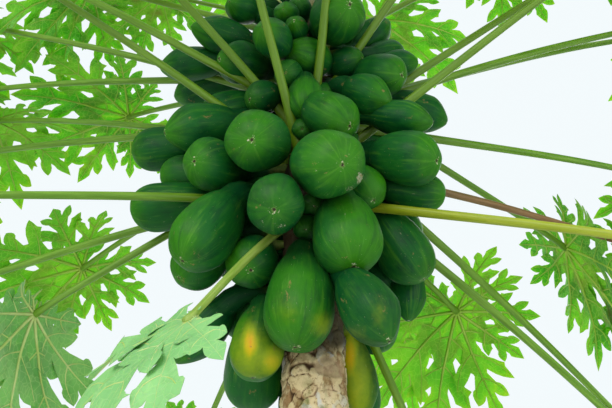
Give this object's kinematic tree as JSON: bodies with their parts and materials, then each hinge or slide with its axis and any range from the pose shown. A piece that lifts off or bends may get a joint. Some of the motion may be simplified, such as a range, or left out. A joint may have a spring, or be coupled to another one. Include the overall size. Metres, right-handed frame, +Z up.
{
  "type": "papaya tree",
  "caption": "Whole papaya tree: unbranched tapering trunk with a flared foot, a dense column of hanging green fruit, and a crown of long-stalked, deeply lobed leaves.",
  "frame": {"origin": "middle of the flat cut under the trunk, at ground level", "axes": "+Z up the trunk; -Y is the side the picture was taken from; +X is to the right in the picture"},
  "size_m": [2.3719, 1.762, 3.391],
  "materials": {
    "bark": "rough, flaking, with leaf scars",
    "leaf": "soft satin, lighter veins",
    "leaf_pale": "matt, bluish bloom on the upper side",
    "leaf_young": "soft satin",
    "petiole": "smooth satin, yellow-green",
    "fruit": "waxy satin skin, green with yellow patches",
    "blossom": "soft matt"
  },
  "bodies": {
    "root": {"trunk": "bark", "leaf_01": "leaf", "leaf_02": "leaf", "leaf_03": "leaf", "leaf_04": "leaf", "leaf_05": "leaf", "leaf_06": "leaf", "leaf_07": "leaf", "leaf_08": "leaf", "leaf_09": "leaf", "leaf_10": "leaf", "leaf_11": "leaf", "leaf_12": "leaf", "leaf_13": "leaf", "leaf_14": "leaf", "leaf_15": "leaf", "leaf_16": "leaf", "leaf_17": "leaf", "leaf_18": "leaf", "leaf_19": "leaf", "leaf_20": "leaf", "leaf_21": "leaf", "leaf_22": "leaf", "leaf_23": "leaf", "leaf_24": "leaf", "leaf_25": "leaf", "leaf_26": "leaf", "leaf_27": "leaf", "leaf_28": "leaf", "leaf_29": "leaf", "leaf_30": "leaf", "leaf_31": "leaf", "leaf_32": "leaf", "leaf_33": "leaf", "leaf_34": "leaf", "leaf_35": "leaf", "leaf_36": "leaf", "leaf_37": "leaf", "leaf_38": "leaf", "crown_tip": "leaf_young", "fruit_lower_front": "fruit", "fruit_lower_back": "fruit", "fruit_middle_front": "fruit", "fruit_middle_back": "fruit", "fruit_upper_front": "fruit", "fruit_upper_back": "fruit"}
  },
  "joints": []
}
